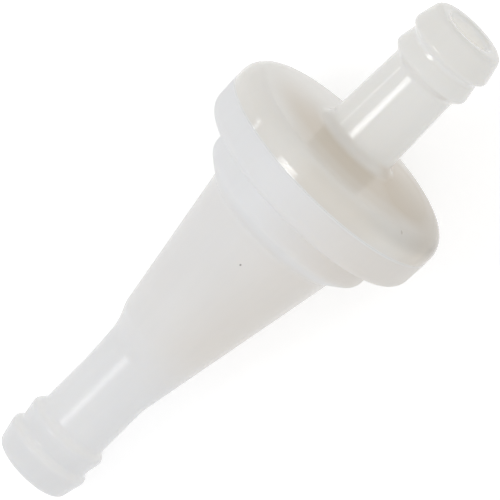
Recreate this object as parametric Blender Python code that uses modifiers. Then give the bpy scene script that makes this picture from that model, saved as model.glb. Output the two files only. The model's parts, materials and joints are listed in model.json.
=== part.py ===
"""Inline fuel filter in milky nylon, with the cone screen that it holds.

Four pieces are turned about one axis: the inlet housing, the outlet cap that closes it at the flange, the
moulded frame of the screen and the woven screen itself. Each outline is a list of corners (z, radius,
rounding), with z along the filter's axis from the inlet end to the outlet end. The empty filter_axis carries
all four and lays the filter on the ground, on its flange and its inlet barb.
"""

import math

import bpy

# Driving dimensions, in metres
SEAT_GAP = 0.0003            # clearance where one piece seats on another

BORE_R = 0.0020              # fuel way through both hose ends
LIP_R = 0.00354              # end of a hose tail, before its rounding
LIP_ROUND = 0.0010
TIP_BARB_R = 0.0041
TIP_BARB_LENGTH = 0.0027     # end face to the tip barb's back edge
SECOND_BARB_R = 0.0039
BARB_NECK_R = 0.0036         # between the two barbs
BARB_PITCH = 0.0023
BARB_BACK = 0.0002           # length over which a barb drops to the tube
EDGE_ROUND = 0.00015

INLET_TUBE_R = 0.0033
INLET_TUBE_LENGTH = 0.0056   # second barb's back edge to the cone
CONE_LENGTH = 0.0195
CONE_TOP_R = 0.0067
CONE_WALL = 0.0013
CONE_BLEND = 0.0040          # soft change from tube to cone
SHOULDER_STEP = 0.00185      # how far the shoulder stands out from the cone
SHOULDER_RISE = 0.0015       # slope from the cone out to the shoulder
SHOULDER_ROUND = 0.0012
SHOULDER_LENGTH = 0.0038     # cone top to the flange's underside
SHOULDER_WALL = 0.0013

FLANGE_OVERHANG = 0.00265    # how far the flange stands out from the shoulder
FLANGE_DRAFT = 0.00015       # how much smaller the flange is at its underside
FLANGE_THICKNESS = 0.00325
FLANGE_ROUND = 0.0012
FLANGE_FLOOR = 0.0013        # material under the screen's seat
FLANGE_WALL = 0.0014         # upstanding wall around the screen's seat

CAP_RIM_HEIGHT = 0.0019
CAP_RIM_DRAFT = 0.0004       # how much smaller the cap is at its shoulder
CAP_SHOULDER_ROUND = 0.0016
CAP_CROWN = 0.0011           # rise of the cap's face towards the tube
CAP_WALL = 0.0015
SPIGOT_WALL = 0.0012
MOUTH_ROUND = 0.0008         # entry of the outlet bore

OUTLET_FOOT_R = 0.0035
OUTLET_FOOT_ROUND = 0.0004
OUTLET_TUBE_R = 0.0032       # at the barbs: the tube tapers from its foot
OUTLET_TUBE_LENGTH = 0.00865

SCREEN_RING_THICKNESS = 0.0010
BASKET_WALL = 0.0007
BASKET_CLEARANCE = 0.0004    # basket to housing at the top of the cone
NOSE_R = 0.00135
NOSE_SETBACK = 0.0030        # start of the cone to the tip of the nose
NOSE_LENGTH = 0.0016         # solid end of the basket
NOSE_ROUND = 0.0005
BASKET_BAND = 0.0010         # uncut band of the basket below the ring
RIB_WIDTH = 0.0009
HOOP_WIDTH = 0.0008
WINDOW_ROWS = 3
SCREEN_WIRE = 0.00022
SCREEN_COLUMNS = 16
SCREEN_ROWS = 7

SIDES = 48                   # flats around a turned piece
ARC_STEP = math.radians(25)  # coarsest bend between two points of an arc
MERGE = 0.00001

# Colours
MILKY_NYLON = (0.74, 0.75, 0.72, 1.0)
FRAME_NYLON = (0.70, 0.70, 0.66, 1.0)
SCREEN_NYLON = (0.78, 0.77, 0.72, 1.0)

# Stations along the axis, each from the one before
SECOND_BARB_Z = TIP_BARB_LENGTH + BARB_PITCH
CONE_START_Z = SECOND_BARB_Z + INLET_TUBE_LENGTH
CONE_TOP_Z = CONE_START_Z + CONE_LENGTH
FLANGE_Z = CONE_TOP_Z + SHOULDER_LENGTH
SEAT_Z = FLANGE_Z + FLANGE_FLOOR
HOUSING_TOP_Z = FLANGE_Z + FLANGE_THICKNESS
CAP_Z = HOUSING_TOP_Z + SEAT_GAP
CAP_SHOULDER_Z = CAP_Z + CAP_RIM_HEIGHT
FOOT_Z = CAP_SHOULDER_Z + CAP_CROWN
OUTLET_BARB_Z = FOOT_Z + OUTLET_TUBE_LENGTH
OUTLET_TIP_BARB_Z = OUTLET_BARB_Z + BARB_PITCH
OUTLET_END_Z = OUTLET_TIP_BARB_Z + TIP_BARB_LENGTH

# Radii and heights where the pieces meet, each from the one before
SHOULDER_R = CONE_TOP_R + SHOULDER_STEP
FLANGE_R = SHOULDER_R + FLANGE_OVERHANG
CAP_SHOULDER_R = FLANGE_R - CAP_RIM_DRAFT
SEAT_R = FLANGE_R - FLANGE_DRAFT - FLANGE_WALL
SPIGOT_R = SEAT_R - SEAT_GAP
SPIGOT_BORE_R = SPIGOT_R - SPIGOT_WALL
CHAMBER_R = SHOULDER_R - SHOULDER_WALL
SCREEN_RING_Z = SEAT_Z + SEAT_GAP
SCREEN_RING_TOP_Z = SCREEN_RING_Z + SCREEN_RING_THICKNESS
SPIGOT_Z = SCREEN_RING_TOP_Z + SEAT_GAP
NOSE_Z = CONE_START_Z + NOSE_SETBACK
NOSE_FLOOR_Z = NOSE_Z + NOSE_LENGTH


def rounded(corners):
    """Points (z, radius) of an outline, with an arc in place of each corner that has a rounding."""
    points = [corners[0][:2]]
    for before, corner, after in zip(corners, corners[1:], corners[2:]):
        z, r, rounding = corner
        back = (before[0] - z, before[1] - r)
        ahead = (after[0] - z, after[1] - r)
        back_length = math.hypot(*back)
        ahead_length = math.hypot(*ahead)
        back = (back[0] / back_length, back[1] / back_length)
        ahead = (ahead[0] / ahead_length, ahead[1] / ahead_length)
        opening = math.acos(max(-1.0, min(1.0, back[0] * ahead[0] + back[1] * ahead[1])))
        turn = math.pi - opening
        if rounding == 0 or turn < 0.01:
            points.append((z, r))
            continue
        reach = min(rounding / math.tan(opening / 2), 0.48 * back_length, 0.48 * ahead_length)
        radius = reach * math.tan(opening / 2)
        start = (z + back[0] * reach, r + back[1] * reach)
        side = 1 if back[0] * ahead[1] - back[1] * ahead[0] < 0 else -1
        centre = (start[0] + side * back[1] * radius, start[1] - side * back[0] * radius)
        heading = math.atan2(start[1] - centre[1], start[0] - centre[0])
        pieces = max(1, math.ceil(turn / ARC_STEP))
        for step in range(pieces + 1):
            angle = heading + side * turn * step / pieces
            points.append((centre[0] + radius * math.cos(angle), centre[1] + radius * math.sin(angle)))
    points.append(corners[-1][:2])
    return points


def crown_z(radius):
    """Height of the cap's face at a radius: a straight slope from its shoulder up to the tube's foot."""
    return CAP_SHOULDER_Z + CAP_CROWN * (CAP_SHOULDER_R - radius) / (CAP_SHOULDER_R - OUTLET_FOOT_R)


def basket_r(z):
    """Outer radius of the screen's basket: a straight line from the nose past the top of the cone."""
    top_r = CONE_TOP_R - CONE_WALL - BASKET_CLEARANCE
    return NOSE_R + (top_r - NOSE_R) * (z - NOSE_Z) / (CONE_TOP_Z - NOSE_Z)


def housing_outline():
    """Outer side of the inlet housing, from the end face to the top of its flange."""
    return rounded([
        (0.0, BORE_R, 0),
        (0.0, LIP_R, LIP_ROUND),
        (TIP_BARB_LENGTH, TIP_BARB_R, EDGE_ROUND),
        (TIP_BARB_LENGTH + BARB_BACK, BARB_NECK_R, 0),
        (SECOND_BARB_Z, SECOND_BARB_R, EDGE_ROUND),
        (SECOND_BARB_Z + BARB_BACK, INLET_TUBE_R, 0),
        (CONE_START_Z, INLET_TUBE_R, CONE_BLEND),
        (CONE_TOP_Z, CONE_TOP_R, EDGE_ROUND),
        (CONE_TOP_Z + SHOULDER_RISE, SHOULDER_R, SHOULDER_ROUND),
        (FLANGE_Z, SHOULDER_R, EDGE_ROUND),
        (FLANGE_Z, FLANGE_R - FLANGE_DRAFT, FLANGE_ROUND),
        (HOUSING_TOP_Z, FLANGE_R, EDGE_ROUND),
        (HOUSING_TOP_Z, SEAT_R, 0),
    ])


def housing_inside():
    """Inner side of the inlet housing, from above the end face to the top of the screen's seat."""
    step_z = CONE_TOP_Z + EDGE_ROUND
    return rounded([
        (0.0, BORE_R, 0),
        (CONE_START_Z, BORE_R, CONE_BLEND),
        (step_z, CONE_TOP_R - CONE_WALL, EDGE_ROUND),
        (step_z + SHOULDER_RISE, CHAMBER_R, EDGE_ROUND),
        (SEAT_Z, CHAMBER_R, 0),
        (SEAT_Z, SEAT_R, 0),
        (HOUSING_TOP_Z, SEAT_R, 0),
    ])[1:-1]


def cap_outline():
    """Outer side of the outlet cap, from its spigot to the outlet's end face."""
    return rounded([
        (SPIGOT_Z, SPIGOT_BORE_R, 0),
        (SPIGOT_Z, SPIGOT_R, 0),
        (CAP_Z, SPIGOT_R, 0),
        (CAP_Z, FLANGE_R, EDGE_ROUND),
        (CAP_SHOULDER_Z, CAP_SHOULDER_R, CAP_SHOULDER_ROUND),
        (FOOT_Z, OUTLET_FOOT_R, OUTLET_FOOT_ROUND),
        (OUTLET_BARB_Z - BARB_BACK, OUTLET_TUBE_R, 0),
        (OUTLET_BARB_Z, SECOND_BARB_R, EDGE_ROUND),
        (OUTLET_TIP_BARB_Z - BARB_BACK, BARB_NECK_R, 0),
        (OUTLET_TIP_BARB_Z, TIP_BARB_R, EDGE_ROUND),
        (OUTLET_END_Z, LIP_R, LIP_ROUND),
        (OUTLET_END_Z, BORE_R, 0),
    ])


def cap_inside():
    """Inner side of the outlet cap, from its spigot to the outlet's end face."""
    return rounded([
        (SPIGOT_Z, SPIGOT_BORE_R, 0),
        (crown_z(SPIGOT_BORE_R) - CAP_WALL, SPIGOT_BORE_R, EDGE_ROUND),
        (crown_z(BORE_R) - CAP_WALL, BORE_R, MOUTH_ROUND),
        (OUTLET_END_Z, BORE_R, 0),
    ])[1:-1]


def frame_outline():
    """The screen's frame, from the floor inside its nose up, over the ring and down to the nose's tip."""
    return rounded([
        (NOSE_FLOOR_Z, 0.0, 0),
        (NOSE_FLOOR_Z, basket_r(NOSE_FLOOR_Z) - BASKET_WALL, 0),
        (SCREEN_RING_Z, basket_r(SCREEN_RING_Z) - BASKET_WALL, 0),
        (SCREEN_RING_TOP_Z, basket_r(SCREEN_RING_Z) - BASKET_WALL, EDGE_ROUND),
        (SCREEN_RING_TOP_Z, SPIGOT_R, EDGE_ROUND),
        (SCREEN_RING_Z, SPIGOT_R, EDGE_ROUND),
        (SCREEN_RING_Z, basket_r(SCREEN_RING_Z), 0),
        (NOSE_Z, NOSE_R, NOSE_ROUND),
        (NOSE_Z, 0.0, 0),
    ])


def screen_outline():
    """Middle of the screen's wire, in equal rows from inside the ring down to just above the nose's floor."""
    inset = BASKET_WALL + SEAT_GAP + SCREEN_WIRE
    top = (SCREEN_RING_Z, basket_r(SCREEN_RING_Z) - inset)
    low_z = NOSE_FLOOR_Z + SEAT_GAP + SCREEN_WIRE + BASKET_WALL
    low = (low_z, basket_r(low_z) - inset)
    return [
        (top[0] + (low[0] - top[0]) * row / SCREEN_ROWS, top[1] + (low[1] - top[1]) * row / SCREEN_ROWS)
        for row in range(SCREEN_ROWS + 1)
    ]


def plastic(name, colour, roughness):
    """A moulded plastic."""
    material = bpy.data.materials.new(name)
    material.use_nodes = True
    shader = material.node_tree.nodes["Principled BSDF"]
    shader.inputs["Base Color"].default_value = colour
    shader.inputs["Roughness"].default_value = roughness
    shader.inputs["Metallic"].default_value = 0.0
    return material


def turned(name, points, closed, sides, material, parts, axis):
    """A piece turned from its outline, which runs down the outer side; its flats touch the true circle."""
    spread = 1 / math.cos(math.pi / sides)
    vertices = [(r * spread, 0.0, z) for z, r in points]
    edges = [(i, i + 1) for i in range(len(points) - 1)]
    if closed:
        edges.append((len(points) - 1, 0))
    mesh = bpy.data.meshes.new(name)
    mesh.from_pydata(vertices, edges, [])
    mesh.materials.append(material)
    piece = bpy.data.objects.new(name, mesh)
    parts.objects.link(piece)
    piece.parent = axis
    piece.rotation_euler.z = math.pi / sides
    screw = piece.modifiers.new("turn", "SCREW")
    screw.axis = "Z"
    screw.angle = 2 * math.pi
    screw.steps = sides
    screw.render_steps = sides
    screw.use_merge_vertices = True
    screw.merge_threshold = MERGE
    screw.use_smooth_shade = True
    return piece


def window_cutters(cutters, axis):
    """Blocks that open the basket between its four ribs, one block in each quarter of each row."""
    low = NOSE_FLOOR_Z
    high = SCREEN_RING_Z - BASKET_BAND
    row_height = (high - low - HOOP_WIDTH * (WINDOW_ROWS - 1)) / WINDOW_ROWS
    reach = SPIGOT_R
    for row in range(WINDOW_ROWS):
        middle_z = low + row_height / 2 + row * (row_height + HOOP_WIDTH)
        for quarter in range(4):
            x_side = 1 if quarter in (0, 3) else -1
            y_side = 1 if quarter in (0, 1) else -1
            bpy.ops.mesh.primitive_cube_add(size=1)
            block = bpy.context.object
            block.name = f"window_cutter_{row}_{quarter}"
            block.scale = (reach, reach, row_height)
            bpy.ops.object.transform_apply(location=False, rotation=False, scale=True)
            block.location = (
                x_side * (RIB_WIDTH + reach) / 2,
                y_side * (RIB_WIDTH + reach) / 2,
                middle_z,
            )
            block.parent = axis
            block.hide_render = True
            block.display_type = "WIRE"
            for collection in list(block.users_collection):
                collection.objects.unlink(block)
            cutters.objects.link(block)


def resting_place(points):
    """Lean of the axis, and the shift that centres the filter on the origin with its lowest points at z = 0.

    The filter rests on the one side of its outline's hull that reaches from the inlet barb to the flange.
    """
    barb_points = [point for point in points if point[0] < CONE_START_Z]
    flange_points = [point for point in points if point[0] > FLANGE_Z - EDGE_ROUND]
    lean = 0.0
    least = None
    for barb in barb_points:
        for flange in flange_points:
            slope = (flange[1] - barb[1]) / (flange[0] - barb[0])
            over = max(r - barb[1] - slope * (z - barb[0]) for z, r in points)
            if least is None or over < least:
                least = over
                lean = math.atan(slope)
    along = [z * math.cos(lean) + side * r * math.sin(lean) for z, r in points for side in (-1, 1)]
    lowest = min(z * math.sin(lean) - r * math.cos(lean) for z, r in points)
    return lean, -(min(along) + max(along)) / 2, -lowest


def clear_scene():
    """Empty the scene of its objects."""
    for item in list(bpy.data.objects):
        bpy.data.objects.remove(item, do_unlink=True)


def main():
    clear_scene()
    parts = bpy.data.collections.new("inline_fuel_filter")
    cutters = bpy.data.collections.new("inline_fuel_filter_cutters")
    bpy.context.scene.collection.children.link(parts)
    bpy.context.scene.collection.children.link(cutters)

    housing_outer = housing_outline()
    cap_outer = cap_outline()
    lean, shift_x, shift_z = resting_place(housing_outer + cap_outer)
    axis = bpy.data.objects.new("filter_axis", None)
    axis.rotation_euler.y = math.pi / 2 - lean
    axis.location = (shift_x, 0.0, shift_z)
    parts.objects.link(axis)

    milky = plastic("milky_nylon", MILKY_NYLON, 0.30)
    frame_plastic = plastic("frame_nylon", FRAME_NYLON, 0.45)
    screen_plastic = plastic("screen_nylon", SCREEN_NYLON, 0.60)

    housing_loop = housing_outer[::-1] + housing_inside()
    turned("inlet_housing", housing_loop, True, SIDES, milky, parts, axis)

    cap_loop = cap_outer[::-1] + cap_inside()
    turned("outlet_cap", cap_loop, True, SIDES, milky, parts, axis)

    frame = turned("screen_frame", frame_outline(), False, SIDES, frame_plastic, parts, axis)
    window_cutters(cutters, axis)
    windows = frame.modifiers.new("windows", "BOOLEAN")
    windows.operation = "DIFFERENCE"
    windows.operand_type = "COLLECTION"
    windows.collection = cutters
    windows.solver = "EXACT"

    screen = turned("screen_mesh", screen_outline(), False, SCREEN_COLUMNS, screen_plastic, parts, axis)
    weave = screen.modifiers.new("weave", "WIREFRAME")
    weave.thickness = SCREEN_WIRE
    weave.offset = 0.0
    weave.use_even_offset = True
    weave.use_boundary = True
    weave.use_replace = True


main()
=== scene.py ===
"""Looks of an inline fuel filter in milky nylon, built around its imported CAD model.

The sections follow the filter as it is put together: the inlet housing, the screen's frame and its woven
screen, the outlet cap, and then the ground, the camera and the light. Sizes of turned pieces are in
millimetres, as (station, radius, rounding): the station is the distance from the inlet's end face along
the filter's axis. A pair whose name ends in RISE or FALL says where a soft mask comes or goes. It is a pair
of stations or radii, and after SIDE a pair of turns about the axis, in degrees from the top and positive
towards +Y.
"""

import json
import math

import bpy
import numpy as np
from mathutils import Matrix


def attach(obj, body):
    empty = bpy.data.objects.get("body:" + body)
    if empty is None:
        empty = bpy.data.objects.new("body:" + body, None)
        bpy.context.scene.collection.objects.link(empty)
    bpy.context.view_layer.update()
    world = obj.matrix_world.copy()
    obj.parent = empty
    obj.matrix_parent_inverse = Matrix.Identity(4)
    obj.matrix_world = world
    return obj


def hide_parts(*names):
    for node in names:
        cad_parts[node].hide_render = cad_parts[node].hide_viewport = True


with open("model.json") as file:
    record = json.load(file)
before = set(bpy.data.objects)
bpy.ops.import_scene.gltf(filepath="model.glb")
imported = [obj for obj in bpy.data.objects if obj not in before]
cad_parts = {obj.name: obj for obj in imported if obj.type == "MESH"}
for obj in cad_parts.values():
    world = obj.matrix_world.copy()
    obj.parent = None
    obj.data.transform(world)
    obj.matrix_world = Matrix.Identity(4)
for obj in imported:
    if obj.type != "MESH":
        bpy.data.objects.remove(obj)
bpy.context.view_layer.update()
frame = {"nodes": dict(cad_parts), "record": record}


# Inlet housing
# One injection moulding in natural nylon: a hose tail with two barbs, a cone that begins later on one side,
# a shoulder ring and the lower half of the flange. Its rim is welded to the cap, which shuts the screen in.

MM = 0.001
mounts = {mount["name"]: mount for mount in frame["record"]["mounts"]}
along = np.array(mounts["outlet_end_face"]["axis"])
side = np.array([0.0, 1.0, 0.0])
up = np.cross(along, side)
inlet_end = np.array(mounts["inlet_end_face"]["pos_m"]) * (1.0, 0.0, 1.0)
axis_tilt = math.pi / 2 - math.atan2(along[2], along[0])

TURNED_SIDES = 192
TURNS = np.linspace(0.0, 2 * math.pi, TURNED_SIDES, endpoint=False)
ARC_POINTS = 9
ARC_ROOM = 0.9
SMALLEST_TURN = 0.001
EDGE_SUPPORT = 0.05
SUPPORT_SHARE = 0.04
SKIN_INSET = 0.02

BORE_R = 2.0
WELD_LOW = 37.225
SEAT_R = 9.65
TUBE_R = 3.30
CONE_START = 10.60
FOOT_FROM = 9.60
FOOT_FADE = (13.8, 16.8)
FOOT_STEP = 0.2
FOOT_SIDE_RISE = (-85.0, 10.0)
FOOT_SIDE_FALL = (50.0, 150.0)

HOUSING = [
    (0.0, BORE_R, 0.50),
    (0.0, 3.54, 0.75),
    (2.50, 4.12, 0.55),
    (3.05, 3.60, 0.55),
    (4.80, 3.92, 0.55),
    (5.50, TUBE_R, 0.80),
    (CONE_START, TUBE_R, 4.0),
    (30.10, 6.70, 0.25),
    (31.60, 8.50, 1.2),
    (33.90, 8.60, 0.20),
    (33.90, 11.02, 1.2),
    (WELD_LOW, 11.17, 0.025),
    (WELD_LOW, SEAT_R, 0.10),
    (35.20, SEAT_R, 0.10),
    (35.20, 7.25, 0.15),
    (31.75, 7.25, 0.40),
    (30.25, 5.40, 0.40),
    (CONE_START, BORE_R, 4.0),
]


def rounded_outline(corners):
    """Closed outline (station, radius) of a turned piece, with every corner rounded.

    Each corner becomes an arc that touches both its sides, and two arcs that meet on a short side share it.
    The arc's points stand at even turns from the normal of the side before to the normal of the side after:
    point = centre + rounding * (n0 sin(w(1-t)) + n1 sin(wt)) / sin(w), where w is the angle between the
    normals. One more point on each side stands just past the arc, so that the shading stays true on the
    straight runs. The whole outline is then set in by a hair, SKIN_INSET.
    """
    corners = np.array(corners)
    place = corners[:, :2]
    ahead = np.roll(place, -1, axis=0) - place
    length = np.linalg.norm(ahead, axis=1, keepdims=True)
    ahead = ahead / length
    back = -np.roll(ahead, 1, axis=0)
    back_length = np.roll(length, 1, axis=0)
    normal_in = np.stack([-back[:, 1], back[:, 0]], axis=1)
    normal_out = np.stack([ahead[:, 1], -ahead[:, 0]], axis=1)
    opening = np.arccos(np.clip(np.sum(back * ahead, axis=1), -1.0, 1.0))[:, None]
    turn = math.pi - opening
    wanted = corners[:, 2:] / np.tan(opening / 2)
    room = ARC_ROOM * length / (wanted + np.roll(wanted, -1, axis=0))
    reach = wanted * np.minimum(1.0, np.minimum(room, np.roll(room, 1, axis=0)))
    rounding = reach * np.tan(opening / 2)
    convex = np.sign(back[:, :1] * ahead[:, 1:] - back[:, 1:] * ahead[:, :1])
    centre = place + back * reach + normal_in * convex * rounding
    share = np.linspace(0.0, 1.0, ARC_POINTS)[None, :, None]
    turn = np.maximum(turn, SMALLEST_TURN)[:, None]
    spoke = (
        normal_in[:, None] * np.sin(turn * (1 - share)) + normal_out[:, None] * np.sin(turn * share)
    ) / np.sin(turn)
    arc = centre[:, None] - convex[:, None] * rounding[:, None] * spoke + SKIN_INSET * spoke
    support = np.minimum(EDGE_SUPPORT, SUPPORT_SHARE * np.minimum(length, back_length))
    before = place + back * (reach + support) + SKIN_INSET * normal_in
    after = place + ahead * (reach + support) + SKIN_INSET * normal_out
    return np.concatenate([before[:, None], arc, after[:, None]], axis=1).reshape(-1, 2)


def put_in_scene(name, vertices, faces, material):
    """A smooth mesh object at the origin from arrays of points in metres and of faces."""
    mesh = bpy.data.meshes.new(name)
    mesh.from_pydata(vertices, [], faces)
    mesh.materials.append(material)
    mesh.polygons.foreach_set("use_smooth", np.ones(len(mesh.polygons), dtype=bool))
    mesh.update()
    piece = bpy.data.objects.new(name, mesh)
    bpy.context.scene.collection.objects.link(piece)
    return piece


def axis_point(station, radius, turn):
    """inlet end + station * along + radius * (cos(turn) * up + sin(turn) * side), in metres."""
    station = np.asarray(station)[..., None]
    radius = np.asarray(radius)[..., None]
    turn = np.asarray(turn)[..., None]
    outwards = np.cos(turn) * up + np.sin(turn) * side
    return inlet_end + MM * (station * along + radius * outwards)


def turned_piece(name, station, radius, material):
    """A closed shell of revolution: the outline is one way round the grid, and the turn is the other.

    station has a value for each row. radius has one too, or one for each row and turn where it isn't round.
    """
    rows = len(station)
    points = axis_point(station[:, None], radius.reshape(rows, -1), TURNS[None, :])
    row, column = np.meshgrid(np.arange(rows), np.arange(TURNED_SIDES), indexing="ij")
    next_row = (row + 1) % rows
    next_column = (column + 1) % TURNED_SIDES
    faces = np.stack(
        [
            row * TURNED_SIDES + column,
            next_row * TURNED_SIDES + column,
            next_row * TURNED_SIDES + next_column,
            row * TURNED_SIDES + next_column,
        ],
        axis=-1,
    )
    return put_in_scene(name, points.reshape(-1, 3), faces.reshape(-1, 4), material)


def soft_step(value, start, end):
    """0 before start, 1 past end, and share * share * (3 - 2 * share) between them."""
    share = np.clip((value - start) / (end - start), 0.0, 1.0)
    return share * share * (3 - 2 * share)


def late_foot(outline):
    """Station of every row of the housing, and its radius for every row and turn.

    On one side the tube runs on past the cone's start, and the cone is only met between the two stations of
    FOOT_FADE: radius = turned radius - (turned radius - tube's radius) * share of turn * share of station.
    Rows are added there, so that the surface can follow.
    """
    foot = int(np.flatnonzero((outline[:-1, 0] < FOOT_FADE[0]) & (outline[1:, 0] > FOOT_FADE[0]))[0])
    added = np.arange(outline[foot, 0] + FOOT_STEP, FOOT_FADE[1] + FOOT_STEP, FOOT_STEP)
    added_radius = np.interp(added, outline[foot : foot + 2, 0], outline[foot : foot + 2, 1])
    outline = np.insert(outline, foot + 1, np.stack([added, added_radius], axis=1), axis=0)
    station, radius = outline.T
    degrees = (np.degrees(TURNS) + 180.0) % 360.0 - 180.0
    turn_share = soft_step(degrees, *FOOT_SIDE_RISE) * (1 - soft_step(degrees, *FOOT_SIDE_FALL))
    past_tube = np.where(station > FOOT_FROM, np.maximum(radius - (TUBE_R - SKIN_INSET), 0.0), 0.0)
    drop = past_tube * (1 - soft_step(station, *FOOT_FADE))
    return station, radius[:, None] - drop[:, None] * turn_share[None, :]


def new_group(name, inputs, outputs):
    """An empty node group with its named sockets, and its input and output nodes."""
    group = bpy.data.node_groups.new(name, "ShaderNodeTree")
    for socket, kind, value in inputs:
        made = group.interface.new_socket(name=socket, in_out="INPUT", socket_type=kind)
        made.default_value = value
    for socket, kind in outputs:
        group.interface.new_socket(name=socket, in_out="OUTPUT", socket_type=kind)
    return group, group.nodes.new("NodeGroupInput"), group.nodes.new("NodeGroupOutput")


def add_node(tree, kind, settings=(), values=(), links=()):
    """A node with its settings, its socket values, and its inputs linked from other sockets."""
    node = tree.nodes.new(kind)
    for name, value in dict(settings).items():
        setattr(node, name, value)
    for name, value in dict(values).items():
        node.inputs[name].default_value = value
    for name, source in dict(links).items():
        tree.links.new(source, node.inputs[name])
    return node


def feed(tree, socket, term):
    """Gives an input a number or a colour, or links it from another socket."""
    if isinstance(term, bpy.types.NodeSocket):
        tree.links.new(term, socket)
    else:
        socket.default_value = term


def maths(tree, operation, *terms):
    """The result of a Math node, whose terms are numbers or sockets."""
    node = add_node(tree, "ShaderNodeMath", {"operation": operation})
    for socket, term in zip(node.inputs, terms):
        feed(tree, socket, term)
    return node.outputs[0]


def mixed_colour(tree, share, first, second):
    """The first colour where the share is 0 and the second where it is 1. Each is a value or a socket.

    The Mix node has sockets of the same names for each kind of data, so these are taken by number.
    """
    node = add_node(tree, "ShaderNodeMix", {"data_type": "RGBA"})
    for number, term in ((0, share), (6, first), (7, second)):
        feed(tree, node.inputs[number], term)
    return node.outputs[2]


def make_filter_place():
    """Place on the filter: in millimetres from the inlet's end face, and as station, radius and turn.

    The place's z runs along the filter's axis and its -x points up, so the turn is the angle from -x
    towards y, in degrees.
    """
    group, given, result = new_group(
        "filter_place",
        [("Object", "NodeSocketVector", (0.0, 0.0, 0.0))],
        [
            ("Place", "NodeSocketVector"),
            ("Station", "NodeSocketFloat"),
            ("Radius", "NodeSocketFloat"),
            ("Turn", "NodeSocketFloat"),
        ],
    )
    turned = add_node(
        group,
        "ShaderNodeMapping",
        {"vector_type": "TEXTURE"},
        {"Location": tuple(inlet_end), "Rotation": (0.0, axis_tilt, 0.0), "Scale": (MM, MM, MM)},
        {"Vector": given.outputs["Object"]},
    )
    parts = add_node(group, "ShaderNodeSeparateXYZ", links={"Vector": turned.outputs["Vector"]})
    across = add_node(
        group, "ShaderNodeCombineXYZ", links={"X": parts.outputs["X"], "Y": parts.outputs["Y"]}
    )
    radius = add_node(
        group, "ShaderNodeVectorMath", {"operation": "LENGTH"}, links={0: across.outputs["Vector"]}
    )
    upwards = maths(group, "MULTIPLY", parts.outputs["X"], -1.0)
    turn = maths(group, "DEGREES", maths(group, "ARCTAN2", parts.outputs["Y"], upwards))
    group.links.new(turned.outputs["Vector"], result.inputs["Place"])
    group.links.new(parts.outputs["Z"], result.inputs["Station"])
    group.links.new(radius.outputs["Value"], result.inputs["Radius"])
    group.links.new(turn, result.inputs["Turn"])
    return group


def make_soft_band():
    """Mask that rises between two values and falls again between two others, with soft edges."""
    group, given, result = new_group(
        "soft_band",
        [
            ("Value", "NodeSocketFloat", 0.0),
            ("Rise Start", "NodeSocketFloat", -2.0),
            ("Rise End", "NodeSocketFloat", -1.0),
            ("Fall Start", "NodeSocketFloat", 1.0),
            ("Fall End", "NodeSocketFloat", 2.0),
        ],
        [("Mask", "NodeSocketFloat")],
    )
    rise = add_node(
        group,
        "ShaderNodeMapRange",
        {"interpolation_type": "SMOOTHSTEP"},
        links={
            "Value": given.outputs["Value"],
            "From Min": given.outputs["Rise Start"],
            "From Max": given.outputs["Rise End"],
        },
    )
    fall = add_node(
        group,
        "ShaderNodeMapRange",
        {"interpolation_type": "SMOOTHSTEP"},
        {"To Min": 1.0, "To Max": 0.0},
        {
            "Value": given.outputs["Value"],
            "From Min": given.outputs["Fall Start"],
            "From Max": given.outputs["Fall End"],
        },
    )
    mask = maths(group, "MULTIPLY", rise.outputs["Result"], fall.outputs["Result"])
    group.links.new(mask, result.inputs["Mask"])
    return group


DRIFT_SCALE = 0.11
STREAK_SCALE = (1.3, 1.3, 0.12)


def make_milky_resin():
    """Colour of milky nylon: one tint where it is thick and one where it is thin, both clouded.

    The cloud is a slow drift, mixed with streaks where the melt ran along the filter's axis. Shade darkens
    it evenly; the cap uses it for painted shade. The pieces also use the thin tint for painted shade on
    their side away from the lamps. A third, pale tint is painted light: it lightens the bore, the barbs'
    lips and the weld, where they would show shade.
    """
    group, given, result = new_group(
        "milky_resin",
        [
            ("Place", "NodeSocketVector", (0.0, 0.0, 0.0)),
            ("Thin", "NodeSocketFloat", 0.0),
            ("Thick Tint", "NodeSocketColor", (0.9, 0.9, 0.9, 1.0)),
            ("Thin Tint", "NodeSocketColor", (0.8, 0.8, 0.8, 1.0)),
            ("Pale", "NodeSocketFloat", 0.0),
            ("Pale Tint", "NodeSocketColor", (0.99, 0.99, 0.98, 1.0)),
            ("Cloud", "NodeSocketFloat", 0.04),
            ("Streaks", "NodeSocketFloat", 0.35),
            ("Shade", "NodeSocketFloat", 0.0),
        ],
        [("Color", "NodeSocketColor")],
    )
    drift = add_node(
        group,
        "ShaderNodeTexNoise",
        values={"Scale": DRIFT_SCALE, "Detail": 2.0, "Roughness": 0.5},
        links={"Vector": given.outputs["Place"]},
    )
    run = add_node(
        group,
        "ShaderNodeVectorMath",
        {"operation": "MULTIPLY"},
        {1: STREAK_SCALE},
        {0: given.outputs["Place"]},
    )
    streak = add_node(
        group,
        "ShaderNodeTexNoise",
        values={"Scale": 1.0, "Detail": 3.0, "Roughness": 0.55},
        links={"Vector": run.outputs[0]},
    )
    milk = add_node(
        group,
        "ShaderNodeMix",
        {"data_type": "FLOAT"},
        links={0: given.outputs["Streaks"], 2: drift.outputs["Fac"], 3: streak.outputs["Fac"]},
    )
    centred = maths(group, "SUBTRACT", milk.outputs[0], 0.5)
    cloud = maths(group, "MULTIPLY_ADD", centred, given.outputs["Cloud"], 1.0)
    shaded = maths(group, "SUBTRACT", cloud, given.outputs["Shade"])
    thick_and_thin = (given.outputs["Thick Tint"], given.outputs["Thin Tint"])
    tint = mixed_colour(group, given.outputs["Thin"], *thick_and_thin)
    clouded = add_node(
        group, "ShaderNodeVectorMath", {"operation": "SCALE"}, links={0: tint, "Scale": shaded}
    )
    colour = mixed_colour(group, given.outputs["Pale"], clouded.outputs[0], given.outputs["Pale Tint"])
    group.links.new(colour, result.inputs["Color"])
    return group


WAVE_SCALE = 0.28
GRAIN_SCALE = 5.0


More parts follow.
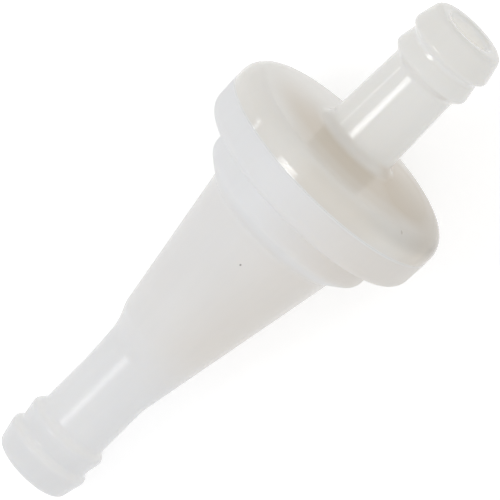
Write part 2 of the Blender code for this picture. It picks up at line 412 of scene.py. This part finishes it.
def make_moulded_skin():
    """Height of a moulded skin, in millimetres: slow sink waves, and the fine grain of the steel."""
    group, given, result = new_group(
        "moulded_skin",
        [
            ("Place", "NodeSocketVector", (0.0, 0.0, 0.0)),
            ("Wave Height", "NodeSocketFloat", 0.02),
            ("Grain Height", "NodeSocketFloat", 0.001),
        ],
        [("Height", "NodeSocketFloat"), ("Grain", "NodeSocketFloat")],
    )
    wave = add_node(
        group,
        "ShaderNodeTexNoise",
        values={"Scale": WAVE_SCALE, "Detail": 1.0, "Roughness": 0.4},
        links={"Vector": given.outputs["Place"]},
    )
    grain = add_node(
        group,
        "ShaderNodeTexNoise",
        values={"Scale": GRAIN_SCALE, "Detail": 4.0, "Roughness": 0.6},
        links={"Vector": given.outputs["Place"]},
    )
    waves = maths(group, "MULTIPLY", wave.outputs["Fac"], given.outputs["Wave Height"])
    height = maths(group, "MULTIPLY_ADD", grain.outputs["Fac"], given.outputs["Grain Height"], waves)
    group.links.new(height, result.inputs["Height"])
    group.links.new(grain.outputs["Fac"], result.inputs["Grain"])
    return group


def make_small_mark():
    """Mask of a small spot: full where the length of (position - centre) / size is under 0.5, 0 past 1."""
    group, given, result = new_group(
        "small_mark",
        [
            ("Position", "NodeSocketVector", (0.0, 0.0, 0.0)),
            ("Centre", "NodeSocketVector", (0.0, 0.0, 0.0)),
            ("Size", "NodeSocketVector", (1.0, 1.0, 1.0)),
        ],
        [("Mask", "NodeSocketFloat")],
    )
    offset = add_node(
        group,
        "ShaderNodeVectorMath",
        {"operation": "SUBTRACT"},
        links={0: given.outputs["Position"], 1: given.outputs["Centre"]},
    )
    scaled = add_node(
        group,
        "ShaderNodeVectorMath",
        {"operation": "DIVIDE"},
        links={0: offset.outputs[0], 1: given.outputs["Size"]},
    )
    distance = add_node(
        group, "ShaderNodeVectorMath", {"operation": "LENGTH"}, links={0: scaled.outputs[0]}
    )
    mask = add_node(
        group,
        "ShaderNodeMapRange",
        {"interpolation_type": "SMOOTHSTEP"},
        {"From Min": 0.5, "From Max": 1.0, "To Min": 1.0, "To Max": 0.0},
        {"Value": distance.outputs["Value"]},
    )
    group.links.new(mask.outputs["Result"], result.inputs["Mask"])
    return group


filter_place = make_filter_place()
soft_band = make_soft_band()
milky_resin = make_milky_resin()
moulded_skin = make_moulded_skin()
small_mark = make_small_mark()

# For a mask of stations or radii that has no edge at that end.
ALWAYS_RISE = (-2.0, -1.0)
NEVER_FALL = (100.0, 101.0)


def band(tree, value, rise, fall):
    """A soft band over a value: nothing before rise[0] and past fall[1], full from rise[1] to fall[0]."""
    return add_node(
        tree,
        "ShaderNodeGroup",
        {"node_tree": soft_band},
        {"Rise Start": rise[0], "Rise End": rise[1], "Fall Start": fall[0], "Fall End": fall[1]},
        {"Value": value},
    ).outputs["Mask"]


def place_on_filter(tree):
    """The node that gives a material its place on the filter, from the piece's object coordinates."""
    where = add_node(tree, "ShaderNodeTexCoord")
    return add_node(
        tree,
        "ShaderNodeGroup",
        {"node_tree": filter_place},
        links={"Object": where.outputs["Object"]},
    )


def mark_skin(tree, first, second, centre, size, tint):
    """Tints a small spot of a material's base colour, at a place given by two values of its place node."""
    base = tree.nodes["Principled BSDF"].inputs["Base Color"]
    position = add_node(tree, "ShaderNodeCombineXYZ", links={"X": first, "Y": second})
    spot = add_node(
        tree,
        "ShaderNodeGroup",
        {"node_tree": small_mark},
        {"Centre": (*centre, 0.0), "Size": (*size, 1.0)},
        {"Position": position.outputs["Vector"]},
    )
    marked = mixed_colour(tree, spot.outputs["Mask"], base.links[0].from_socket, tint)
    tree.links.new(marked, base)


NYLON_IOR = 1.53
MILK_SHARE = 0.15
MILK_RADIUS = (1.0, 0.9, 0.75)
GRAIN_RANGE = (0.3, 0.7)
GLOSS_SPREAD = 0.03
BLACK = (0.0, 0.0, 0.0, 1.0)
BORE_FALL = (2.05, 2.25)
# Colour of the bore's painted glow, which stands in for the light that comes through the wall.
BORE_GLOW = (0.105, 0.10, 0.09, 1.0)
GLOW_RISE = (0.1, 0.8)
GLOW_FALL = (53.3, 54.0)
# Where the weld and the barbs' lips get the pale tint, as painted light against their shade.
WELD_RISE = (37.00, 37.17)
WELD_FALL = (37.24, 37.38)
WELD_SIDE_RISE = (-100.0, -30.0)
WELD_SIDE_FALL = (120.0, 179.0)
BARB_LIPS = [2.75, 5.15, 48.9, 51.3]
LIP_REACH = 0.6


def milky_nylon(name, thick_tint, thin_tint, roughness, depth, cloud):
    """A milky nylon material, with its place node and its resin node.

    The piece that it is for says with them where it is thin or painted with shade. The bore's skin, the
    barbs' lips and one side of the weld are painted pale, as painted light against the shade they would
    show. The bore has a weak painted glow past its mouths, which stands in for the light that comes through
    the wall.
    """
    material = bpy.data.materials.new(name)
    material.use_nodes = True
    tree = material.node_tree
    shader = tree.nodes["Principled BSDF"]
    place = place_on_filter(tree)
    resin = add_node(
        tree,
        "ShaderNodeGroup",
        {"node_tree": milky_resin},
        {"Thick Tint": thick_tint, "Thin Tint": thin_tint, "Cloud": cloud},
        {"Place": place.outputs["Place"]},
    )
    skin = add_node(
        tree, "ShaderNodeGroup", {"node_tree": moulded_skin}, links={"Place": place.outputs["Place"]}
    )
    bump = add_node(
        tree,
        "ShaderNodeBump",
        values={"Strength": 1.0, "Distance": MM},
        links={"Height": skin.outputs["Height"]},
    )
    gloss = add_node(
        tree,
        "ShaderNodeMapRange",
        values={
            "From Min": GRAIN_RANGE[0],
            "From Max": GRAIN_RANGE[1],
            "To Min": roughness - GLOSS_SPREAD,
            "To Max": roughness + GLOSS_SPREAD,
        },
        links={"Value": skin.outputs["Grain"]},
    )
    # Painted light: the bore, the barbs' lips and the weld between the turns of WELD_SIDE get the pale tint,
    # which lightens the shade they would show.
    in_bore = band(tree, place.outputs["Radius"], ALWAYS_RISE, BORE_FALL)
    at_weld = band(tree, place.outputs["Station"], WELD_RISE, WELD_FALL)
    weld_side = band(tree, place.outputs["Turn"], WELD_SIDE_RISE, WELD_SIDE_FALL)
    pale = maths(tree, "MAXIMUM", in_bore, maths(tree, "MULTIPLY", at_weld, weld_side))
    for lip in BARB_LIPS:
        at_lip = band(tree, place.outputs["Station"], (lip - LIP_REACH, lip), (lip, lip + LIP_REACH))
        pale = maths(tree, "MAXIMUM", pale, at_lip)
    # Painted light: the bore glows past its mouths.
    past_mouths = band(tree, place.outputs["Station"], GLOW_RISE, GLOW_FALL)
    glow = mixed_colour(tree, maths(tree, "MULTIPLY", in_bore, past_mouths), BLACK, BORE_GLOW)
    tree.links.new(pale, resin.inputs["Pale"])
    tree.links.new(resin.outputs["Color"], shader.inputs["Base Color"])
    tree.links.new(gloss.outputs["Result"], shader.inputs["Roughness"])
    tree.links.new(bump.outputs["Normal"], shader.inputs["Normal"])
    tree.links.new(glow, shader.inputs["Emission Color"])
    shader.inputs["Emission Strength"].default_value = 1.0
    shader.inputs["IOR"].default_value = NYLON_IOR
    shader.inputs["Subsurface Weight"].default_value = MILK_SHARE
    shader.inputs["Subsurface Radius"].default_value = MILK_RADIUS
    shader.inputs["Subsurface Scale"].default_value = depth
    return material, place, resin


CONE_RISE = (11.0, 20.0)
CONE_FALL = (29.5, 31.5)
RING_RISE = (30.5, 32.0)
# Turns of the painted shade on the housing's side away from the lamps.
SHADED_SIDE_RISE = (-179.0, -130.0)
SHADED_SIDE_FALL = (-50.0, 25.0)
EVEN_THIN = 0.40
DULL_RISE = (30.0, 30.4)
DULLNESS = 0.28
INLET_TIP_SHADE = 0.035
INLET_TIP_FALL = (3.5, 5.5)
# Station and turn of the dark speck on the cone.
SPECK_AT = (27.45, -3.0)
SPECK_SIZE = (0.13, 1.0)
SPECK_TINT = (0.42, 0.40, 0.38, 1.0)

housing_nylon, place, resin = milky_nylon(
    "housing_nylon",
    thick_tint=(0.925, 0.93, 0.94, 1.0),
    thin_tint=(0.88, 0.845, 0.80, 1.0),
    roughness=0.24,
    depth=0.001,
    cloud=0.09,
)
tree = housing_nylon.node_tree
# The cone's thin wall over the chamber gives it a share of the darker, warmer tint all round. The rest, on
# the cone and the ring on the side away from the lamps, is painted shade.
on_cone = band(tree, place.outputs["Station"], CONE_RISE, CONE_FALL)
on_ring = band(tree, place.outputs["Station"], RING_RISE, NEVER_FALL)
shaded_side = band(tree, place.outputs["Turn"], SHADED_SIDE_RISE, SHADED_SIDE_FALL)
at_least_even = maths(tree, "MULTIPLY_ADD", shaded_side, 1.0 - EVEN_THIN, EVEN_THIN)
cone_thin_and_shade = maths(tree, "MULTIPLY", on_cone, at_least_even)
tree.links.new(maths(tree, "MULTIPLY_ADD", on_ring, shaded_side, cone_thin_and_shade), resin.inputs["Thin"])

at_tip = band(tree, place.outputs["Station"], ALWAYS_RISE, INLET_TIP_FALL)
tree.links.new(maths(tree, "MULTIPLY", at_tip, INLET_TIP_SHADE), resin.inputs["Shade"])

roughness = tree.nodes["Principled BSDF"].inputs["Roughness"]
on_dull_ring = band(tree, place.outputs["Station"], DULL_RISE, NEVER_FALL)
dulled = maths(tree, "MULTIPLY_ADD", on_dull_ring, DULLNESS, roughness.links[0].from_socket)
tree.links.new(dulled, roughness)

mark_skin(tree, place.outputs["Station"], place.outputs["Turn"], SPECK_AT, SPECK_SIZE, SPECK_TINT)

housing = turned_piece("housing_shell", *late_foot(rounded_outline(HOUSING)), housing_nylon)
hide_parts("inlet_housing")
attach(housing, "root")


# Screen frame
# A moulded ring in natural nylon, clamped between the housing's seat and the cap's spigot, with a basket of
# four ribs and hoops that ends in a solid nose. The CAD node has the whole of that form and keeps it.

FRAME_TINT = (0.80, 0.79, 0.75, 1.0)

frame_nylon = milky_nylon(
    "frame_nylon",
    thick_tint=FRAME_TINT,
    thin_tint=FRAME_TINT,
    roughness=0.45,
    depth=0.0006,
    cloud=0.05,
)[0]
frame_node = frame["nodes"]["screen_frame"]
for slot in frame_node.material_slots:
    slot.material = frame_nylon


# Woven screen
# A cone of nylon cloth that stands inside the basket, woven from single round threads: some run down the
# cone, and rings run around it. They pass over and under each other in turn.

SCREEN_LOW = (16.42, 0.76)
SCREEN_TOP = (35.50, 4.97)
DOWN_THREADS = 40
RINGS = 44
THREAD_R = 0.045
STEPS_A_CROSSING = 4
THREAD_SIDES = 5
NOSE_FALL = (16.0, 30.0)

screen_nylon = bpy.data.materials.new("screen_nylon")
screen_nylon.use_nodes = True
tree = screen_nylon.node_tree
shader = tree.nodes["Principled BSDF"]
place = place_on_filter(tree)
resin = add_node(
    tree,
    "ShaderNodeGroup",
    {"node_tree": milky_resin},
    {
        "Thick Tint": (0.78, 0.77, 0.72, 1.0),
        "Thin Tint": (0.72, 0.69, 0.60, 1.0),
        "Cloud": 0.15,
    },
    {"Place": place.outputs["Place"]},
)
near_nose = band(tree, place.outputs["Station"], ALWAYS_RISE, NOSE_FALL)
tree.links.new(near_nose, resin.inputs["Thin"])
tree.links.new(resin.outputs["Color"], shader.inputs["Base Color"])
shader.inputs["Roughness"].default_value = 0.5
shader.inputs["IOR"].default_value = NYLON_IOR


def woven_cone(name, material):
    """The two sets of threads, as tubes.

    point = centre + thread radius * (cos(a) * normal + sin(a) * across). A centre lies on the cone, moved
    along its normal by thread radius * cos(pi * crossings passed), with the other sign for every second
    thread, and for the rings against the threads that run down.
    """
    low = np.array(SCREEN_LOW)
    top = np.array(SCREEN_TOP)
    slope = (top[1] - low[1]) / (top[0] - low[0])
    length_share = 1 / math.hypot(1.0, slope)
    sides = np.linspace(0.0, 2 * math.pi, THREAD_SIDES, endpoint=False)

    def tubes(share, turn, crossings, sign, down):
        """Points of tubes, from arrays (thread x step) of share of the cone, turn and crossings passed."""
        flat = low + share[..., None] * (top - low)
        outwards = np.cos(turn)[..., None] * up + np.sin(turn)[..., None] * side
        around = np.cos(turn)[..., None] * side - np.sin(turn)[..., None] * up
        normal = length_share * (outwards - slope * along)
        line = length_share * (along + slope * outwards)
        run = line if down else around
        across = np.cross(normal, run)
        wave = sign[:, None] * THREAD_R * np.cos(math.pi * crossings)
        centre = axis_point(flat[..., 0], flat[..., 1], turn) + MM * wave[..., None] * normal
        ring = (
            np.cos(sides)[:, None] * normal[..., None, :] + np.sin(sides)[:, None] * across[..., None, :]
        )
        return centre[..., None, :] + MM * THREAD_R * ring

    def walls(threads, steps, closed, start):
        """Four-cornered faces of the tubes, whose points are counted from start."""
        last = steps if closed else steps - 1
        thread, step, corner = np.meshgrid(
            np.arange(threads), np.arange(last), np.arange(THREAD_SIDES), indexing="ij"
        )
        next_step = (step + 1) % steps
        next_corner = (corner + 1) % THREAD_SIDES
        base = start + thread * steps * THREAD_SIDES
        corners = [(step, corner), (next_step, corner), (next_step, next_corner), (step, next_corner)]
        return np.stack([base + a * THREAD_SIDES + b for a, b in corners], axis=-1).reshape(-1, 4)

    steps = (RINGS - 1) * STEPS_A_CROSSING + 1
    share = np.tile(np.linspace(0.0, 1.0, steps), (DOWN_THREADS, 1))
    turn = np.tile(np.arange(DOWN_THREADS)[:, None] * 2 * math.pi / DOWN_THREADS, (1, steps))
    down_sign = 1 - 2 * (np.arange(DOWN_THREADS) % 2)
    down = tubes(share, turn, share * (RINGS - 1), down_sign, True)
    down_faces = walls(DOWN_THREADS, steps, False, 0)
    first = np.arange(DOWN_THREADS)[:, None] * steps * THREAD_SIDES + np.arange(THREAD_SIDES)
    ends = np.concatenate([first, first[:, ::-1] + (steps - 1) * THREAD_SIDES])

    ring_steps = DOWN_THREADS * STEPS_A_CROSSING
    share = np.tile(np.linspace(0.0, 1.0, RINGS)[:, None], (1, ring_steps))
    turn = np.tile(np.linspace(0.0, 2 * math.pi, ring_steps, endpoint=False), (RINGS, 1))
    ring_sign = 2 * (np.arange(RINGS) % 2) - 1
    rings = tubes(share, turn, turn * DOWN_THREADS / (2 * math.pi), ring_sign, False)
    ring_faces = walls(RINGS, ring_steps, True, down[..., 0].size)

    points = np.concatenate([down.reshape(-1, 3), rings.reshape(-1, 3)])
    faces = down_faces.tolist() + ring_faces.tolist() + ends.tolist()
    return put_in_scene(name, points, faces, material)


screen = woven_cone("woven_screen", screen_nylon)
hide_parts("screen_mesh")
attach(screen, "root")


# Outlet cap
# The second moulding, in the same nylon with a higher gloss: the upper half of the flange, a crowned face,
# the outlet tube with its two barbs, and a short spigot that presses the screen's ring on its seat.

WELD_HIGH = 37.195
SPIGOT_R = 9.35
SPIGOT_BORE_R = 8.15

CAP = [
    (36.80, SPIGOT_BORE_R, 0.10),
    (36.80, SPIGOT_R, 0.10),
    (WELD_HIGH, SPIGOT_R, 0.10),
    (WELD_HIGH, 11.17, 0.025),
    (39.42, 11.17, 1.85),
    (40.45, 3.45, 0.9),
    (48.60, 3.20, 0.80),
    (49.30, 3.92, 0.55),
    (50.72, 3.64, 0.20),
    (51.16, 3.63, 0.35),
    (51.66, 4.12, 0.55),
    (54.10, 3.54, 0.75),
    (54.10, BORE_R, 0.50),
    (39.15, BORE_R, 0.8),
    (38.25, SPIGOT_BORE_R, 0.3),
]

# The face is thin over the chamber, which darkens and warms it. The turns of FACE_SIDE keep this to the side
# away from the lamps, so that part of it is painted shade.
FACE_RISE = (3.4, 5.0)
FACE_FALL = (6.5, 9.8)
FACE_SIDE_RISE = (-179.0, -130.0)
FACE_SIDE_FALL = (30.0, 130.0)
FACE_THIN = 0.60
RIM_THIN = 0.22
# Painted shade on the cap's side away from the lamps.
FAR_SIDE_RISE = (-179.0, -130.0)
FAR_SIDE_FALL = (-82.0, -38.0)
FAR_PAINTED_SHADE = 0.50
# Painted reflection: a dark band along the rim's outer part in front, where the rim mirrors something dark.
PAINTED_REFLECTION_RISE = (9.8, 10.8)
PAINTED_REFLECTION_SIDE_RISE = (-50.0, -20.0)
PAINTED_REFLECTION_SIDE_FALL = (0.0, 18.0)
PAINTED_REFLECTION_SHARE = 0.2
# A darker, browner band on the face's outer part, in front.
OUTER_RISE = (7.4, 8.8)
OUTER_FALL = (9.4, 10.4)
OUTER_SIDE_RISE = (-62.0, -42.0)
OUTER_SIDE_FALL = (18.0, 42.0)
OUTER_DARKENING = 0.22
FLANGE_FALL = (40.8, 41.4)
# The outlet's tip is darker and warmer.
OUTLET_TIP_RISE = (48.5, 52.0)
OUTLET_TIP_DARKENING = 0.10
# Painted shade: the cap is darker on the side away from the lamps, from the first Y of the pair to the
# second, in millimetres.
EDGE_Y = (-4.0, -11.0)
EDGE_RISE = (38.0, 39.0)
EDGE_SHADE = 0.22
# Painted shade: a dark edge along the rim on the side away from the lamps.
RIM_Y = (-10.3, -11.1)
RIM_RISE = (37.0, 37.9)
RIM_SHADE = 0.25
# Radius and turn of the dark dot on the face.
SCUFF_AT = (10.19, -50.2)
SCUFF_SIZE = (0.22, 0.8)
SCUFF_TINT = (0.60, 0.56, 0.50, 1.0)

cap_nylon, place, resin = milky_nylon(
    "cap_nylon",
    thick_tint=(0.945, 0.94, 0.91, 1.0),
    thin_tint=(0.695, 0.605, 0.485, 1.0),
    roughness=0.10,
    depth=0.001,
    cloud=0.07,
)
tree = cap_nylon.node_tree


def ring_part(rise, fall, side_rise, side_fall):
    """Mask of a part of a ring on the cap: between two radii and two turns, with soft edges."""
    ring = band(tree, place.outputs["Radius"], rise, fall)
    return maths(tree, "MULTIPLY", ring, band(tree, place.outputs["Turn"], side_rise, side_fall))


# The cap's thin share: its own tone, the thin face over the chamber, painted shade, a painted reflection and
# a darker outer band.
far_side = band(tree, place.outputs["Turn"], FAR_SIDE_RISE, FAR_SIDE_FALL)
thin_and_painted_shade = maths(tree, "MULTIPLY_ADD", far_side, FAR_PAINTED_SHADE, RIM_THIN)
for part, thin in [
    (ring_part(FACE_RISE, FACE_FALL, FACE_SIDE_RISE, FACE_SIDE_FALL), FACE_THIN),
    (ring_part(PAINTED_REFLECTION_RISE, NEVER_FALL, PAINTED_REFLECTION_SIDE_RISE, PAINTED_REFLECTION_SIDE_FALL), PAINTED_REFLECTION_SHARE),
    (ring_part(OUTER_RISE, OUTER_FALL, OUTER_SIDE_RISE, OUTER_SIDE_FALL), OUTER_DARKENING),
]:
    thin_and_painted_shade = maths(tree, "MULTIPLY_ADD", part, thin, thin_and_painted_shade)
below_tube = band(tree, place.outputs["Station"], ALWAYS_RISE, FLANGE_FALL)
thin_and_painted_shade = maths(tree, "MULTIPLY", thin_and_painted_shade, below_tube)
at_tip = band(tree, place.outputs["Station"], OUTLET_TIP_RISE, NEVER_FALL)
tree.links.new(maths(tree, "MULTIPLY_ADD", at_tip, OUTLET_TIP_DARKENING, thin_and_painted_shade), resin.inputs["Thin"])

# Painted shade, through the resin's Shade: the cap's side away from the lamps, and its rim's edge there.
place_parts = add_node(tree, "ShaderNodeSeparateXYZ", links={"Vector": place.outputs["Place"]})
cap_shade = 0.0
for across, rise, shade in [(EDGE_Y, EDGE_RISE, EDGE_SHADE), (RIM_Y, RIM_RISE, RIM_SHADE)]:
    to_edge = add_node(
        tree,
        "ShaderNodeMapRange",
        values={"From Min": across[0], "From Max": across[1], "To Max": shade},
        links={"Value": place_parts.outputs["Y"]},
    )
    past_rise = band(tree, place.outputs["Station"], rise, NEVER_FALL)
    cap_shade = maths(tree, "MULTIPLY_ADD", to_edge.outputs["Result"], past_rise, cap_shade)
tree.links.new(cap_shade, resin.inputs["Shade"])

mark_skin(tree, place.outputs["Radius"], place.outputs["Turn"], SCUFF_AT, SCUFF_SIZE, SCUFF_TINT)

cap = turned_piece("cap_shell", *rounded_outline(CAP).T, cap_nylon)
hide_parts("outlet_cap")
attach(cap, "root")


# Ground
# A plain pale surface under the filter. It shows as white, and it keeps the filter's soft shadow.

GROUND_SIZE = 6.0
GROUND_COLOUR = (0.88, 0.88, 0.88, 1.0)
GROUND_LIFT = 0.42


def seen_or_mirrored(tree):
    """1 where the camera sees it, straight, in a gloss or through glass, and 0 where it only gives light."""
    ray = add_node(tree, "ShaderNodeLightPath").outputs
    mirrored = maths(tree, "MAXIMUM", ray["Is Camera Ray"], ray["Is Glossy Ray"])
    return maths(tree, "MAXIMUM", mirrored, ray["Is Transmission Ray"])


ground_paint = bpy.data.materials.new("ground_paint")
ground_paint.use_nodes = True
tree = ground_paint.node_tree
tree.nodes.remove(tree.nodes["Principled BSDF"])
lift = maths(tree, "MULTIPLY", seen_or_mirrored(tree), GROUND_LIFT)
glow = add_node(tree, "ShaderNodeEmission", links={"Strength": lift})
matt = add_node(tree, "ShaderNodeBsdfDiffuse", values={"Color": GROUND_COLOUR})
both = add_node(tree, "ShaderNodeAddShader", links={0: matt.outputs[0], 1: glow.outputs[0]})
tree.links.new(both.outputs[0], tree.nodes["Material Output"].inputs["Surface"])

half = GROUND_SIZE / 2
ground = put_in_scene(
    "ground",
    [(-half, -half, 0.0), (half, -half, 0.0), (half, half, 0.0), (-half, half, 0.0)],
    [(0, 1, 2, 3)],
    ground_paint,
)


# Camera
# It looks down on the filter from about 1 m with a long lens, from a little on the outlet's side, and it is
# turned so that the filter points to the upper right.

CAMERA_DISTANCE = 1.005
PICTURE_WIDTH = 0.0419
SENSOR_WIDTH = 36.0
AIM_STATION = 27.2
VIEW_ANGLE = math.radians(74.25)
PICTURE_TURN = math.radians(44.77)

aim = inlet_end + MM * AIM_STATION * along
towards_camera = math.cos(VIEW_ANGLE) * along + math.sin(VIEW_ANGLE) * up
along_picture = math.sin(VIEW_ANGLE) * along - math.cos(VIEW_ANGLE) * up
across_picture = np.cross(towards_camera, along_picture)
picture_right = math.cos(PICTURE_TURN) * along_picture - math.sin(PICTURE_TURN) * across_picture
picture_up = math.sin(PICTURE_TURN) * along_picture + math.cos(PICTURE_TURN) * across_picture


def placed_at(name, data, place, right, upright, back):
    """An object whose own x, y and z axes point along right, upright and back."""
    made = bpy.data.objects.new(name, data)
    bpy.context.scene.collection.objects.link(made)
    matrix = np.eye(4)
    matrix[:3, 0] = right
    matrix[:3, 1] = upright
    matrix[:3, 2] = back
    matrix[:3, 3] = place
    made.matrix_world = matrix.T.tolist()
    return made


lens = bpy.data.cameras.new("camera")
lens.sensor_width = SENSOR_WIDTH
lens.lens = SENSOR_WIDTH * CAMERA_DISTANCE / PICTURE_WIDTH
lens.clip_start = 0.05
lens.clip_end = 20.0
camera = placed_at(
    "camera",
    lens,
    aim + CAMERA_DISTANCE * towards_camera,
    picture_right,
    picture_up,
    towards_camera,
)
bpy.context.scene.camera = camera


# Light
# A broad lamp with a narrow beam, to the left of the picture, gives the soft-edged streak along the cone. A
# low one gives the thin second highlight. The pale room lights the rest, a little less from the lamps' side.

ROOM_LAMP_SIDE = 0.632
ROOM_FAR_SIDE = 0.755
LAMP_SIDE = (-0.80, 0.60, 0.0)
KEY_DIRECTION = (-0.6475, 0.0, 0.762)
KEY_SIZE = (0.40, 0.16)
KEY_DISTANCE = 1.0
KEY_POWER = 0.0405
KEY_SPREAD = math.radians(30.0)
SIDE_DIRECTION = (-0.80, 0.57, 0.1855)
SIDE_SIZE = (0.06, 0.30)
SIDE_DISTANCE = 0.9
SIDE_POWER = 0.17
SIDE_SPREAD = math.pi


def from_picture(direction):
    """A direction given as (right, up, towards the camera) in the picture, as a direction in the scene."""
    return direction[0] * picture_right + direction[1] * picture_up + direction[2] * towards_camera


def soft_light(name, direction, size, distance, power, spread):
    """A rectangular lamp that faces the aim point from a direction in the picture.

    size is (across the filter, along the filter).
    """
    back = from_picture(np.array(direction) / np.linalg.norm(direction))
    long_side = along - np.dot(along, back) * back
    long_side = long_side / np.linalg.norm(long_side)
    lamp = bpy.data.lights.new(name, "AREA")
    lamp.shape = "RECTANGLE"
    lamp.size = size[0]
    lamp.size_y = size[1]
    lamp.energy = power
    lamp.spread = spread
    return placed_at(name, lamp, aim + distance * back, np.cross(long_side, back), long_side, back)


soft_light("key_light", KEY_DIRECTION, KEY_SIZE, KEY_DISTANCE, KEY_POWER, KEY_SPREAD)
soft_light("side_light", SIDE_DIRECTION, SIDE_SIZE, SIDE_DISTANCE, SIDE_POWER, SIDE_SPREAD)

room = bpy.data.worlds.new("pale_room")
room.use_nodes = True
bpy.context.scene.world = room
tree = room.node_tree
background = tree.nodes["Background"]
towards = add_node(tree, "ShaderNodeTexCoord")
facing = add_node(
    tree,
    "ShaderNodeVectorMath",
    {"operation": "DOT_PRODUCT"},
    {1: tuple(from_picture(LAMP_SIDE))},
    {0: towards.outputs["Generated"]},
)
room_light = add_node(
    tree,
    "ShaderNodeMapRange",
    values={"From Min": -1.0, "To Min": ROOM_FAR_SIDE, "To Max": ROOM_LAMP_SIDE},
    links={"Value": facing.outputs["Value"]},
)
strength = add_node(
    tree,
    "ShaderNodeMapRange",
    values={"To Max": 1.0},
    links={"Value": seen_or_mirrored(tree), "To Min": room_light.outputs["Result"]},
)
tree.links.new(strength.outputs["Result"], background.inputs["Strength"])
background.inputs["Color"].default_value = (1.0, 1.0, 1.0, 1.0)

scene = bpy.context.scene
scene.view_settings.view_transform = "Standard"
